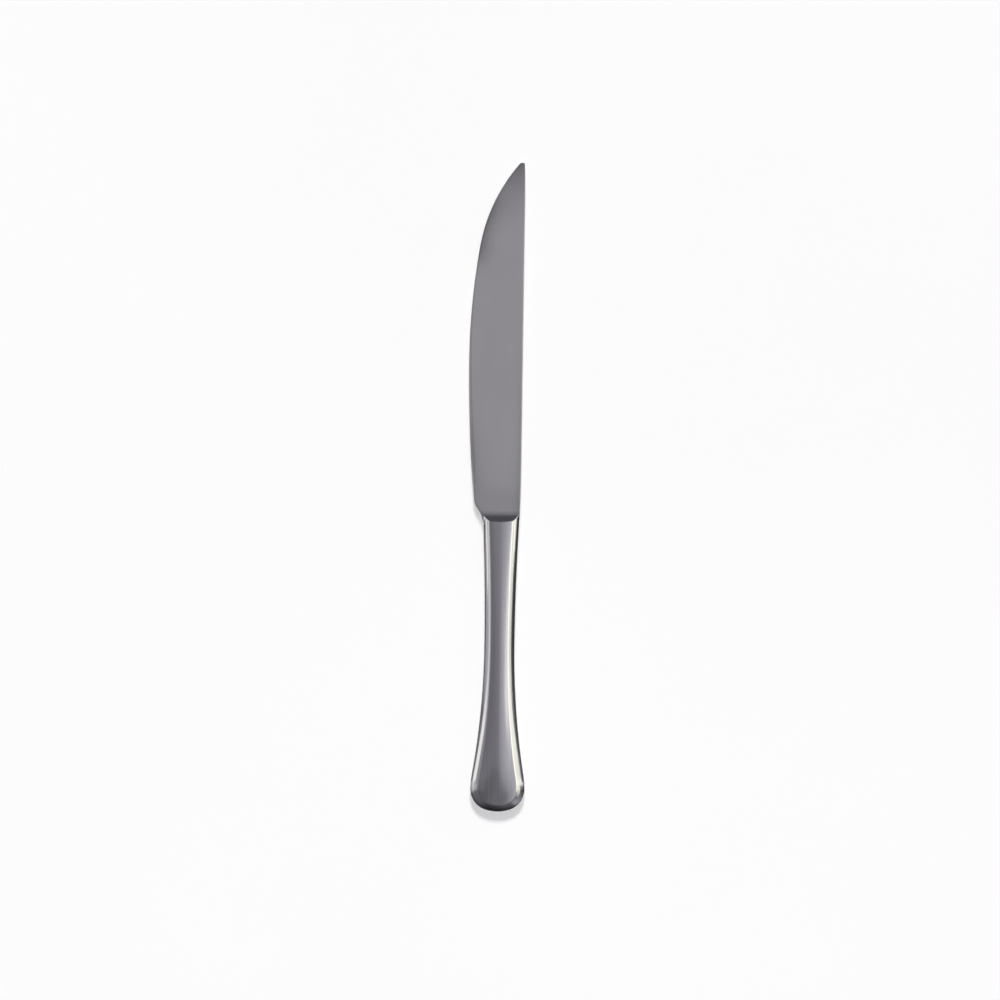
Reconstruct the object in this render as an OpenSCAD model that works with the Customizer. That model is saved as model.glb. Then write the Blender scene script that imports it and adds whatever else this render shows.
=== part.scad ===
// Steak knife: a forged blade with bolster and tang, in a hollow handle of two pressed half shells.
// It lies flat. +Y points to the tip, -X is the side of the cutting edge, +X is the spine, +Z is up.
// Shapes are written on the knife's own axis: y = 0 at the shoulder, where blade and handle meet,
// x = 0 on the axis of the handle, z = 0 in the middle of the thickness. All sizes are in millimetres.

/* [Blade outline] */
// Length of the blade, from the shoulder to the tip
blade_length = 127.7; // [115:0.1:140]
// Greatest width of the blade, from the spine to the cutting edge
blade_width = 19.45; // [18:0.05:21]
// Distance of the spine from the axis of the handle
spine_offset = 6.95; // [6.9:0.05:7.2]
// Distance of the widest place from the shoulder
widest_at = 57; // [50:0.5:64]
// Radius of the cutting edge from the heel to the widest place
heel_curve_r = 560; // [450:10:800]
// Radius of the cutting edge from the widest place towards the tip
belly_curve_r = 243; // [215:1:280]
// Distance from the shoulder at which the tip curve begins
tip_curve_at = 97.5; // [92:0.5:102]
// Width of the blunt tip
tip_width = 1.6; // [1.2:0.1:2.4]
// Radius of the tip's corner at the spine
tip_corner_r = 0.4; // [0.2:0.1:0.8]
// Length over which the spine eases in to the handle
spine_ease = 20; // [8:1:25]
// Distance from the shoulder at which the spine begins to bend down to the tip
spine_bend_at = 112; // [100:1:118]
// Distance by which the spine has bent down at the tip
spine_drop = 0.27; // [0.1:0.01:0.5]

/* [Heel] */
// Slope of the heel against the axis of the knife, in degrees
heel_angle = 34; // [30:1:38]
// Radius of the corner between the cutting edge and the heel
heel_corner_r = 6; // [4:0.5:9]
// Distance behind the shoulder at which the heel line would reach the side of the handle
heel_reach = 0.9; // [0.5:0.05:1.4]
// Slope of the foot that leads the heel into the side of the bolster, in degrees
foot_angle = 14.5; // [10:0.5:18]
// Radius of the hollow between the heel and its foot
foot_r = 1.5; // [0.5:0.1:2.5]

/* [Blade thickness] */
// Thickness of the spine at the shoulder
spine_thick = 2; // [1.8:0.1:2.4]
// Thickness of the spine at the tip
tip_thick = 0.8; // [0.7:0.05:1.1]
// Thickness behind the edge bevel at the widest place
edge_thick = 0.45; // [0.3:0.05:0.7]
// Flat left on the cutting edge itself
edge_land = 0.08; // [0.04:0.02:0.16]
// Angle of each edge bevel, in degrees
edge_angle = 20; // [16:1:24]
// Chamfer along both corners of the spine
spine_chamfer = 0.3; // [0.15:0.05:0.4]

/* [Handle outline] */
// Length of the handle, from the shoulder to the end of the butt
handle_length = 107.5; // [100:0.5:118]
// Width of the handle at the shoulder
mouth_width = 13.4; // [13:0.1:13.8]
// Width of the waist
waist_width = 11.05; // [10:0.05:12]
// Distance of the waist from the shoulder
waist_at = 47; // [40:0.5:54]
// Greatest width of the butt
butt_width = 19.75; // [18.5:0.05:21]
// Distance of the widest place of the butt from its end
butt_reach = 8.2; // [7:0.1:8.8]
// Radius of the swelling that leads from the waist to the butt
shoulder_r = 30; // [20:1:45]
// Radius of the end of the butt
end_r = 14; // [12.5:0.1:16]

/* [Handle section] */
// Thickness of the handle at the shoulder
mouth_thick = 5.1; // [4.9:0.1:5.6]
// Thickness of the handle at the waist
waist_thick = 5.2; // [4.9:0.1:5.6]
// Thickness of the handle at the butt
butt_thick = 5.2; // [4.9:0.1:5.6]
// Height of the upright rim of each shell
rim_wall = 0.35; // [0.25:0.05:0.5]
// Radius of the corner between the rim and the bevel that frames the face
rim_r = 0.4; // [0.2:0.05:0.6]
// Slope of the bowed bevel at the rim, in degrees from upright
bevel_rim_angle = 47; // [44:1:50]
// Slope of the bowed bevel at the crease, in degrees from upright
bevel_crease_angle = 61; // [58:1:66]
// Radius of the crease between bevel and face
crease_r = 1.1; // [0.8:0.05:1.3]
// Width that the bevel gains beside the butt
butt_bevel_extra = 0.5; // [0:0.05:0.8]
// Height by which the middle of the face stands above the crease
face_crown = 0.25; // [0.1:0.05:0.35]

/* [Bolster, shells and joints] */
// Slope of the bolster's shoulder, in degrees
ramp_angle = 34; // [30:1:40]
// Radius of the hollow between the blade's flank and the shoulder
ramp_foot_r = 1.6; // [1:0.1:2.2]
// Distance from the shoulder to the back of the bolster
bolster_length = 5; // [4.2:0.1:6]
// Length of the spigot that centres the shells on the bolster
spigot_length = 4; // [3:0.5:8]
// Wall of the pressed shells
wall = 0.6; // [0.5:0.05:0.7]
// Thickness of the brazed seam between the shells
seam_gap = 0.1; // [0.06:0.02:0.16]
// Thickness of the solder between bolster and shells
solder_gap = 0.1; // [0.06:0.02:0.16]
// Clearance of the spigot and the cement in the shells, and of the tang in the cement
fit = 0.05; // [0.03:0.01:0.08]

/* [Tang and cement] */
// Length of the tang behind the spigot
tang_length = 30; // [24:1:58]
// Width of the tang
tang_width = 6; // [5:0.1:6.6]
// Thickness of the tang
tang_thick = 2; // [1.6:0.1:2.4]
// Radius of the notches that lock the tang in the cement
notch_r = 1; // [0.6:0.1:1.3]
// Distance from one pair of notches to the next
notch_pitch = 12; // [8:0.5:14]
// Empty length left in the butt behind the cement
air_space = 20; // [16:0.5:26]

/* [Hidden] */
$fn = 128;

satin_steel = "#8d8b90";
polished_steel = "#b9b8ba";
braze_colour = "#a8a79f";
cement_colour = "#8a857b";

// Steps along and around the lofted handle
side_steps = 26;
corner_steps = 8;
end_steps = 4;
rim_steps = 2;
bevel_steps = 3;
crease_steps = 3;
face_steps = 8;
bolster_steps = 4;
spigot_steps = 2;
cement_steps = 14;
// Steps in each arc of the blade's outline, and in each arc of its cutting edge
arc_steps = 8;
edge_steps = 16;
// Slope of the face where it leaves the crease, and the least inner radius of a pressed bend
face_edge_angle = 83;
least_bend = 0.1;

// Larger than anything that has to be cut, and how far a cut runs past what it cuts
reach = 2 * (blade_length + handle_length);
edge_margin = 1;

// Cutting edge: three arcs that run into each other, from the heel to the tip
edge_x = spine_offset - blade_width;
heel_centre = [edge_x + heel_curve_r, widest_at];
belly_centre = [edge_x + belly_curve_r, widest_at];
belly_turn = asin((tip_curve_at - widest_at) / belly_curve_r);
belly_end = belly_centre + belly_curve_r * [-cos(belly_turn), sin(belly_turn)];
inward = [cos(belly_turn), -sin(belly_turn)];
tip_start = [spine_offset - spine_drop - tip_width, blade_length];
tip_chord = tip_start - belly_end;
tip_curve_r = (tip_chord * tip_chord) / (2 * (tip_chord * inward));
tip_centre = belly_end + tip_curve_r * inward;
heel_turn = asin((-bolster_length - edge_margin - widest_at) / heel_curve_r);
tip_turn = atan2(blade_length + edge_margin - tip_centre.y, tip_centre.x - spine_offset - edge_margin);

// Section of the edge-ground body, from the cutting edge over the bevel and past the spine: [depth, height]
grind_depth = blade_width + edge_margin;
bevel_depth = (spine_thick - edge_land / 2) / tan(edge_angle);
edge_places = [
    [0, edge_land / 2], [bevel_depth, spine_thick], [grind_depth, spine_thick],
    [grind_depth, -spine_thick], [bevel_depth, -spine_thick], [0, -edge_land / 2]];

// Half thickness of the blade along the spine, and how fast it falls towards the edge and the tip
root_half = spine_thick / 2;
tip_half = tip_thick / 2;
taper = (root_half - tip_half) / blade_length;
fall = (root_half - taper * widest_at - edge_thick / 2) / blade_width;
flank_point = [spine_offset, 0, root_half];
flank_normal = [-fall, taper, 1];

// Distance that the blade's root and the heel's foot keep inside the bolster, and the depth of the root
root_inset = 1;
foot_inset = 0.35;
blade_root = 1.5;
// Depth to which the hollow at the ramp's foot runs into the blade
ramp_sink = 0.02;

// Spine: straight, eased in by one arc to the side of the handle and bent down by another to the tip
ease_drop = spine_offset - mouth_width / 2;
ease_r = (spine_ease^2 + ease_drop^2) / (2 * ease_drop);
bend_run = blade_length - spine_bend_at;
bend_r = (bend_run^2 + spine_drop^2) / (2 * spine_drop);
bend_centre = [spine_offset - bend_r, spine_bend_at];
bend_turn = asin((bend_run - tip_corner_r) / (bend_r - tip_corner_r));
tip_corner = bend_centre + (bend_r - tip_corner_r) * [cos(bend_turn), sin(bend_turn)];

// Handle outline: two hollow arcs that meet at the waist, a swelling arc, a corner arc and an end arc
butt_at = handle_length - butt_reach;
front_rise = (mouth_width - waist_width) / 2;
front_r = (waist_at^2 + front_rise^2) / (2 * front_rise);
flare_rise = (butt_width - waist_width) / 2;
flare_run = butt_at - waist_at;
flare_sum = (flare_run^2 + flare_rise^2) / (2 * flare_rise);
rear_r = flare_sum - shoulder_r;
end_back = end_r - butt_reach;
corner_r = (end_r^2 - (butt_width / 2)^2 - end_back^2) / (2 * (end_r - butt_width / 2));
corner_x = butt_width / 2 - corner_r;
end_turn = atan2(corner_x, end_back);

// Heel: a corner arc from the cutting edge, a straight line and a foot that ends at the back of the bolster
heel_dir = [-sin(heel_angle), cos(heel_angle)];
heel_normal = [cos(heel_angle), sin(heel_angle)];
heel_start = [-mouth_width / 2, -heel_reach];
foot_dir = [-sin(foot_angle), cos(foot_angle)];
foot_normal = [cos(foot_angle), sin(foot_angle)];
foot_start = [foot_inset - half_width(bolster_length, 0), -bolster_length];
foot_to_heel = heel_start - foot_start + foot_r * (foot_normal - heel_normal);
foot_length = cross(foot_to_heel, heel_dir) / cross(foot_dir, heel_dir);
foot_centre = foot_start - foot_r * foot_normal + foot_length * foot_dir;
corner_from = heel_start + heel_corner_r * heel_normal - heel_centre;
corner_slide = corner_from * heel_dir;
corner_room = (heel_curve_r - heel_corner_r)^2 - corner_from * corner_from;
corner_centre = heel_centre + corner_from + (sqrt(corner_slide^2 + corner_room) - corner_slide) * heel_dir;
corner_start = 180 + atan2(heel_centre.y - corner_centre.y, heel_centre.x - corner_centre.x);

// Greatest thickness of the knife
full_thick = max(mouth_thick, waist_thick, butt_thick);

// Joints along the handle
mouth_at = bolster_length + solder_gap;
spigot_end = bolster_length + spigot_length;
cement_start = spigot_end + fit;
cement_end = handle_length - air_space;

// Half thickness of the handle at distance s behind the shoulder
function ease(u) = (1 - cos(180 * min(max(u, 0), 1))) / 2;
function half_thick(s) = s < waist_at
    ? (waist_thick + (mouth_thick - waist_thick) * ease((waist_at - s) / waist_at)) / 2
    : (waist_thick + (butt_thick - waist_thick) * ease((s - waist_at) / flare_run)) / 2;
function crease_height(s) = half_thick(s) - face_crown - seam_gap / 2;

// Half width of the handle outline, moved inwards by inset, at distance s behind the shoulder
function half_width(s, inset) =
    s < waist_at ? waist_width / 2 + front_r - sqrt((front_r + inset)^2 - (waist_at - s)^2)
    : s < waist_at + flare_run * (rear_r + inset) / flare_sum
        ? waist_width / 2 + rear_r - sqrt((rear_r + inset)^2 - (s - waist_at)^2)
    : butt_width / 2 - shoulder_r + sqrt((shoulder_r - inset)^2 - (butt_at - s)^2);

// A station is [0, distance] on the sides, [1, angle] on the corner arc or [2, angle] on the end arc
function rail(station, inset) =
    station[0] == 0 ? [half_width(station[1], inset), -station[1]]
    : station[0] == 1 ? [corner_x + (corner_r - inset) * cos(station[1]),
                         -butt_at - (corner_r - inset) * sin(station[1])]
    : [(end_r - inset) * sin(station[1]), end_r - handle_length - (end_r - inset) * cos(station[1])];

// Point of an arc that starts to the left of its centre and turns up. In the handle's section such a point
// is [distance inwards, height], and a turn of 0 is upright.
function on_arc(centre, r, turn) = centre + r * [-cos(turn), sin(turn)];

// Section from the rim to the crease: an upright rim, its corner, the bowed bevel and the crease
crease_bend = max(crease_r, wall + fit + least_bend);
rim_top = on_arc([rim_r, rim_wall], rim_r, bevel_rim_angle);
crease_rise = crease_bend * (sin(face_edge_angle) - sin(bevel_crease_angle));
bevel_rise = crease_height(0) - rim_top.y - crease_rise;
bevel_r = bevel_rise / (sin(bevel_crease_angle) - sin(bevel_rim_angle));
bevel_centre = rim_top + bevel_r * [cos(bevel_rim_angle), -sin(bevel_rim_angle)];
bevel_top = on_arc(bevel_centre, bevel_r, bevel_crease_angle);
crease_centre = bevel_top + crease_bend * [cos(bevel_crease_angle), -sin(bevel_crease_angle)];
crest_inset = on_arc(crease_centre, crease_bend, face_edge_angle).x;

// Points of that section on the surface that lies depth below the outer one
function profile(depth) =
    let (bend = max(rim_r - depth, least_bend), corner_in = depth + bend, span = bevel_r - corner_in)
    let (turn = acos((bevel_centre.x - corner_in) / span))
    let (corner = [corner_in, bevel_centre.y + span * sin(turn)])
    concat(
        [[depth, 0]],
        [for (a = spread(0, turn, rim_steps)) on_arc(corner, bend, a)],
        [for (a = later(turn, bevel_crease_angle, bevel_steps)) on_arc(bevel_centre, bevel_r - depth, a)],
        [for (a = later(bevel_crease_angle, face_edge_angle, crease_steps))
            on_arc(crease_centre, crease_bend - depth, a)]);
profile_size = len(profile(0));
crest_step = profile_size - 1;

// How far the outline faces sideways at a station: 1 on the sides, 0 in the middle of the end
function sideways(station) =
    station[0] == 0 ? 1 : station[0] == 1 ? cos(station[1]) : sin(station[1]);

// How much wider than at the mouth the bevel is: it grows beside the butt, but not at its end
function widening(station) = 1 + butt_bevel_extra / crest_inset
    * (station[0] == 0 ? ease((station[1] - waist_at) / flare_run) : sideways(station)^2);

// A point of the handle's surface, or of the surface that lies depth below it
function surface_point(station, place, depth) =
    let (at = rail(station, depth + (place.x - depth) * widening(station)))
    [at.x, at.y, seam_gap / 2 + place.y * crease_height(-at.y) / crease_height(0)];

// Upper half of a section, from the right rim over the face to the left rim
function ring(station, depth) =
    let (right = [for (place = profile(depth)) surface_point(station, place, depth)])
    let (crest = right[crest_step])
    let (butt_crest = half_width(butt_at, crest_inset + butt_bevel_extra + depth * cos(face_edge_angle)))
    let (crown = face_crown * (station[0] == 0 ? 1 : (crest.x / butt_crest)^2))
    let (face = [for (j = [1:face_steps - 1]) let (u = 1 - 2 * j / face_steps)
        [crest.x * u, crest.y, crest.z + crown * (1 - u^2)]])
    concat(right, face, [for (k = [crest_step:-1:0]) [-right[k].x, right[k].y, right[k].z]]);
ring_size = 2 * profile_size + face_steps - 1;

// Stations of a shell from its mouth to the middle of its end, where left and right meet in one line
stations = concat(
    [for (i = [0:side_steps]) [0, mouth_at + (butt_at - mouth_at) * i / side_steps]],
    [for (i = [1:corner_steps]) [1, (90 - end_turn) * i / corner_steps]],
    [for (i = [1:end_steps - 1]) [2, end_turn * (1 - i / end_steps)]]);
end_station = [2, 0];
ring_count = len(stations);
skin_size = ring_count * ring_size + profile_size;
function skin_points(depth) = concat(
    [for (station = stations) each ring(station, depth)],
    [for (place = profile(depth)) surface_point(end_station, place, depth)]);

// Faces, each seen anticlockwise from outside
function patch(a, b, c, d) = [[a, b, c], [a, c, d]];
function turned(faces) = [for (f = faces) [for (k = [len(f) - 1:-1:0]) f[k]]];
function strip(size, first, second) =
    [for (j = [0:size - 2]) each patch(first + j, first + j + 1, second + j + 1, second + j)];
function skin_faces(base) =
    let (last = base + (ring_count - 1) * ring_size, line = base + ring_count * ring_size)
    concat(
        [for (i = [0:ring_count - 2])
            each strip(ring_size, base + i * ring_size, base + (i + 1) * ring_size)],
        [for (k = [0:crest_step - 1]) each patch(last + k, last + k + 1, line + k + 1, line + k)],
        [for (k = [0:crest_step - 1]) let (j = last + ring_size - 2 - k)
            each patch(j, j + 1, line + k, line + k + 1)],
        [for (j = [crest_step:ring_size - 2 - crest_step]) [last + j, last + j + 1, line + crest_step]]);

// First points of each ring on the right rim and last ones on the left rim, with the shared end point
function right_rim(base) = [for (i = [0:ring_count]) base + i * ring_size];
function left_rim(base) = [for (i = [0:ring_count])
    base + (i < ring_count ? (i + 1) * ring_size - 1 : ring_count * ring_size)];
function band(outer, inner) =
    [for (i = [0:len(outer) - 2]) each patch(outer[i], inner[i], inner[i + 1], outer[i + 1])];

// A half shell from its rim at the seam to its face, with its wall, open at the mouth
module half_shell() {
    faces = concat(
        skin_faces(0),
        turned(skin_faces(skin_size)),
        turned(band(right_rim(0), right_rim(skin_size))),
        band(left_rim(0), left_rim(skin_size)),
        turned(strip(ring_size, 0, skin_size)));
    polyhedron(points = concat(skin_points(0), skin_points(wall)), faces = turned(faces));
}

// A whole section at distance s, depth below the handle's surface
function whole_ring(s, depth) =
    let (upper = ring([0, s], depth))
    concat(upper, [for (k = [ring_size - 1:-1:0]) [upper[k].x, upper[k].y, -upper[k].z]]);

// A closed solid through sections of equally many points, each end closed by a fan round its middle
function middle(points) = [for (p = points) 1 / len(points)] * points;
module loft(sections) {
    size = len(sections[0]);
    final = len(sections) - 1;
    front_middle = (final + 1) * size;
    back_middle = front_middle + 1;
    sides = [for (i = [0:final - 1], j = [0:size - 1]) let (k = (j + 1) % size)
        each patch(i * size + j, i * size + k, (i + 1) * size + k, (i + 1) * size + j)];
    caps = [for (j = [0:size - 1]) let (k = (j + 1) % size)
        each [[k, j, front_middle], [final * size + j, final * size + k, back_middle]]];
    polyhedron(
        points = concat([for (section = sections) each section],
                        [middle(sections[0]), middle(sections[final])]),
        faces = turned(concat(sides, caps)));
}

// The handle's form between whole sections at the given distances
module handle_loft(distances, depth) {
    loft([for (s = distances) whole_ring(s, depth)]);
}

// Steps from one value to another, with the first value and without it
function spread(from, to, steps) = [for (i = [0:steps]) from + (to - from) * i / steps];
function later(from, to, steps) = [for (i = [1:steps]) from + (to - from) * i / steps];
function arc(centre, r, from, to) =
    [for (a = spread(from, to, arc_steps)) centre + r * [cos(a), sin(a)]];

// Stands its children, made on the plane z = 0, on a plane through a point
module on_plane(point, normal) {
    n = normal / norm(normal);
    translate(point) rotate([-asin(n.y), atan2(n.x, n.z), 0]) children();
}

// Everything on the inner side of a plane
module behind_plane(point, normal) {
    on_plane(point, normal) translate([-reach, -reach, -2 * reach]) cube(2 * reach);
}

// Outline of the blade, but for the cutting edge, which the edge bevel cuts
module blade_outline() {
    ease_centre = [spine_offset - ease_r, spine_ease];
    ease_turn = asin(spine_ease / ease_r);
    corner_top = corner_centre.y + heel_corner_r * sin(corner_start);
    polygon(concat(
        [[mouth_width / 2 - root_inset, -blade_root]],
        arc(ease_centre, ease_r, -ease_turn, 0),
        arc(bend_centre, bend_r, 0, bend_turn),
        arc(tip_corner, tip_corner_r, bend_turn + (90 - bend_turn) / arc_steps, 90),
        [[edge_x - edge_margin, blade_length], [edge_x - edge_margin, corner_top]],
        [corner_centre + (heel_corner_r + edge_land) * [cos(corner_start), sin(corner_start)]],
        arc(corner_centre, heel_corner_r, corner_start + heel_angle / arc_steps, 180 + heel_angle),
        arc(foot_centre, foot_r, heel_angle, foot_angle),
        [foot_start, [root_inset - mouth_width / 2, -bolster_length]]));
}

// A section of the edge-ground body at a turn of one of the arcs of the cutting edge
function edge_section(centre, r, turn) =
    [for (place = edge_places) let (at = on_arc(centre, r - place.x, turn)) [at.x, at.y, place.y]];

// The body that is ground to the edge bevels on both sides, along all three arcs of the cutting edge
module edge_body() {
    loft(concat(
        [for (a = spread(heel_turn, 0, edge_steps)) edge_section(heel_centre, heel_curve_r, a)],
        [for (a = later(0, belly_turn, edge_steps)) edge_section(belly_centre, belly_curve_r, a)],
        [for (a = later(belly_turn, tip_turn, edge_steps)) edge_section(tip_centre, tip_curve_r, a)]));
}

// The ground blade: flat flanks that thin towards edge and tip, edge bevels and an eased spine
module ground_blade() {
    intersection() {
        linear_extrude(2 * spine_thick, center = true) blade_outline();
        edge_body();
        flanks();
    }
}

module flanks() {
    intersection_for (side = [0, 1]) mirror([0, 0, side]) {
        intersection() {
            behind_plane(flank_point, flank_normal);
            behind_plane([spine_offset - spine_chamfer, 0, root_half], [1, taper, 1]);
        }
    }
}

// Everything below the sloping shoulder and the hollow at its foot, on the upper face
module below_ramp() {
    foot_y = ramp_foot_r * tan(ramp_angle / 2);
    hollow_centre = [foot_y, ramp_foot_r - ramp_sink];
    top_y = -full_thick / tan(ramp_angle);
    on_plane(flank_point, flank_normal)
        rotate([90, 0, 90]) linear_extrude(reach, center = true) polygon(concat(
            [[foot_y, -reach]],
            arc(hollow_centre, ramp_foot_r, -90, -90 - ramp_angle),
            [[top_y, full_thick - ramp_sink], [-reach, full_thick], [-reach, -reach]]));
}

// The bolster: the front of the handle's form, cut to a sloping shoulder on both faces
module bolster() {
    intersection() {
        handle_loft(spread(-ramp_foot_r, bolster_length, bolster_steps), 0);
        below_ramp();
        mirror([0, 0, 1]) below_ramp();
    }
}

module spigot() {
    handle_loft(spread(bolster_length - fit, spigot_end, spigot_steps), wall + fit);
}

// The tang, or the pocket for it when grown by a clearance
module tang(grow) {
    tang_end = spigot_end + tang_length;
    notch_count = floor((tang_length - tang_width) / notch_pitch);
    linear_extrude(tang_thick + 2 * grow, center = true) difference() {
        union() {
            translate([-tang_width / 2 - grow, tang_width / 2 - tang_end])
                square([tang_width + 2 * grow, tang_end - tang_width / 2 - bolster_length]);
            translate([0, tang_width / 2 - tang_end]) circle(tang_width / 2 + grow);
        }
        for (i = [1:notch_count], side = [-1, 1])
            translate([side * tang_width / 2, -spigot_end - i * notch_pitch]) circle(notch_r - grow);
    }
}

// From the knife's own axis to the middle of the underside of its box
module placed() {
    left = min(edge_x, -butt_width / 2);
    right = max(spine_offset, butt_width / 2);
    translate([-(left + right) / 2, (handle_length - blade_length) / 2, full_thick / 2]) children();
}

module blade() {
    color(satin_steel) placed() {
        ground_blade();
        bolster();
        spigot();
        tang(0);
    }
}

module handle_front_shell() {
    color(polished_steel) placed() half_shell();
}

module handle_back_shell() {
    color(polished_steel) placed() mirror([0, 0, 1]) half_shell();
}

// The brazed layer between the rims of the two shells
module seam_braze() {
    side_stations = concat(stations, [end_station]);
    outer = [for (station = side_stations) rail(station, 0)];
    inner = [for (station = side_stations) rail(station, wall)];
    count = len(outer);
    color(braze_colour) placed() linear_extrude(seam_gap, center = true) polygon(concat(
        outer,
        [for (i = [count - 2:-1:0]) [-outer[i].x, outer[i].y]],
        [for (i = [0:count - 1]) [-inner[i].x, inner[i].y]],
        [for (i = [count - 2:-1:0]) inner[i]]));
}

// The solder ring between the back of the bolster and the mouth of the shells
module mouth_solder() {
    color(braze_colour) placed() translate([0, -bolster_length, 0]) rotate([90, 0, 0])
        linear_extrude(solder_gap) difference() {
            polygon([for (p = whole_ring(mouth_at, 0)) [p.x, p.z]]);
            polygon([for (p = whole_ring(mouth_at, wall)) [p.x, p.z]]);
        }
}

// The cement that fills the shells round the tang
module tang_cement() {
    color(cement_colour) placed() difference() {
        handle_loft(spread(cement_start, cement_end, cement_steps), wall + fit);
        tang(fit);
    }
}

blade();
handle_front_shell();
handle_back_shell();
seam_braze();
mouth_solder();
tang_cement();
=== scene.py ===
"""Looks of the steak knife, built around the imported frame. Lengths are in metres.

Shapes are written on the knife's own axis, as the solids are: y = 0 at the shoulder where blade and
handle meet, x = 0 on the axis of the handle, z = 0 in the middle of the thickness, +y to the tip.
"""
import functools
import math

import bmesh
import bpy
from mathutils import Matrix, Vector


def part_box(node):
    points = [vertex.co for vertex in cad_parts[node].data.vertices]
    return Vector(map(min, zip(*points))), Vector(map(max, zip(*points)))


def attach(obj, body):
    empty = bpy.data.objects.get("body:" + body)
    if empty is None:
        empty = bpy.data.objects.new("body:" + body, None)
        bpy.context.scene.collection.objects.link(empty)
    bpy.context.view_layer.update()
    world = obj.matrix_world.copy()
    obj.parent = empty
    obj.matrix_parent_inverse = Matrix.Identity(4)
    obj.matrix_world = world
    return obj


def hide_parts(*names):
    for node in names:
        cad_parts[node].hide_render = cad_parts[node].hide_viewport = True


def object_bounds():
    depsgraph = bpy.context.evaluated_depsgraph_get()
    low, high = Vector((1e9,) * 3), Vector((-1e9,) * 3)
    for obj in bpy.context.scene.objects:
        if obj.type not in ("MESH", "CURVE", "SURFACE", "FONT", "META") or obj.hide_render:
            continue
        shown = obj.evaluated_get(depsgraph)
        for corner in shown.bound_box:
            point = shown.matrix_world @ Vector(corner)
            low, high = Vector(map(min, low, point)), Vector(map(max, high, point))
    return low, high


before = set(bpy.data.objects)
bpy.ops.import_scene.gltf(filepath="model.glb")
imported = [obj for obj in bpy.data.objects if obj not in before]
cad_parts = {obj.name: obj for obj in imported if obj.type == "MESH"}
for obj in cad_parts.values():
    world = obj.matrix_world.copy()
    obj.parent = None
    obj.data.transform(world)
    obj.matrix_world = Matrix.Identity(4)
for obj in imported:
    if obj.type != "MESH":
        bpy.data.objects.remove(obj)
cad_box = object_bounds()

MM = 0.001

# Sizes taken from the frame
_, blade_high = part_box("blade")
shell_low, shell_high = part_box("handle_front_shell")
box_low, box_high = cad_box
BLADE_LENGTH = 127.7 * MM
AXIS_X = (shell_low.x + shell_high.x) / 2
SHOULDER_Y = blade_high.y - BLADE_LENGTH
MID_Z = (box_low.z + box_high.z) / 2
HANDLE_LENGTH = SHOULDER_Y - shell_low.y
BUTT_WIDTH = shell_high.x - shell_low.x

# Blade outline
BLADE_WIDTH = 19.45 * MM
SPINE_OFFSET = 6.95 * MM
WIDEST_AT = 57 * MM
HEEL_CURVE_R = 560 * MM
BELLY_CURVE_R = 243 * MM
TIP_CURVE_AT = 97.5 * MM
TIP_WIDTH = 1.6 * MM
TIP_CORNER_R = 0.4 * MM
SPINE_EASE = 20 * MM
SPINE_BEND_AT = 112 * MM
SPINE_DROP = 0.27 * MM
HEEL_ANGLE = math.radians(34)
HEEL_CORNER_R = 6 * MM
HEEL_REACH = 0.9 * MM
FOOT_ANGLE = math.radians(14.5)
FOOT_R = 1.5 * MM
FOOT_INSET = 0.35 * MM

# Blade thickness
SPINE_THICK = 2 * MM
TIP_THICK = 0.8 * MM
EDGE_THICK = 0.45 * MM
EDGE_LAND = 0.08 * MM
EDGE_ANGLE = math.radians(20)
BEVEL_FULL_AT = 22 * MM
SPINE_ROUND = 0.3 * MM
HEEL_ROUND = 0.35 * MM

# Step over which the lean of the edge is measured
SLOPE_STEP = 1 * MM

# Handle outline and section
MOUTH_WIDTH = 13.4 * MM
WAIST_WIDTH = 11.05 * MM
WAIST_AT = 47 * MM
BUTT_REACH = 8.2 * MM
SHOULDER_R = 30 * MM
END_R = 14 * MM
MOUTH_THICK = 5.1 * MM
WAIST_THICK = 5.2 * MM
BUTT_THICK = 5.2 * MM
RIM_WALL = 0.35 * MM
RIM_R = 0.4 * MM
BEVEL_RIM_ANGLE = math.radians(47)
BEVEL_CREASE_ANGLE = math.radians(61)
BUTT_BEVEL_EXTRA = 0.5 * MM
CREASE_R = 1.1 * MM
LEAST_BEND = 0.1 * MM
FACE_CROWN = 0.25 * MM
BUTT_CROWN = 0.4 * MM
CROWN_FALL = 15 * MM
FACE_EDGE_ANGLE = math.radians(83)

# Bolster, shells, joints and tang
RAMP_ANGLE = math.radians(34)
RAMP_FOOT_R = 1.6 * MM
RAMP_TOP_ROUND = 0.12 * MM
BOLSTER_LENGTH = 5 * MM
SPIGOT_LENGTH = 4 * MM
WALL = 0.6 * MM
SEAM_GAP = 0.1 * MM
SOLDER_GAP = 0.1 * MM
FIT = 0.05 * MM
TANG_LENGTH = 30 * MM
TANG_WIDTH = 6 * MM
TANG_THICK = 2 * MM
NOTCH_R = 1 * MM
NOTCH_PITCH = 12 * MM

# Steps of the meshes, and the angle from which an edge stays sharp
RIM_STEPS = 7
BEVEL_STEPS = 6
CREASE_STEPS = 12
FACE_STEPS = 28
SIDE_STEPS = 90
CORNER_STEPS = 26
END_STEPS = 14
ARC_STEPS = 8
SHOULDER_STEPS = (9, 6, 6, 10, 3)
HEEL_ROWS = 76
BELLY_ROWS = 110
TIP_ROWS = 40
SHARP_ANGLE = math.radians(40)

# Wear of the steel, where 1 is worn bright
RIM_WEAR = 0.3
SPINE_WEAR = 0.4
EDGE_WEAR = 1.0


def mix(a, b, t):
    return a + (b - a) * t


def smooth(t):
    t = min(max(t, 0.0), 1.0)
    return t * t * (3 - 2 * t)


def blend_of(value, limits):
    return smooth((value - limits[0]) / (limits[1] - limits[0]))


def spread(start, end, steps):
    return [mix(start, end, i / steps) for i in range(steps + 1)]


def in_part_frame(point):
    """A point on the knife's own axis, given in the frame of the part."""
    return point[0] + AXIS_X, point[1] + SHOULDER_Y, point[2] + MID_Z


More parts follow.
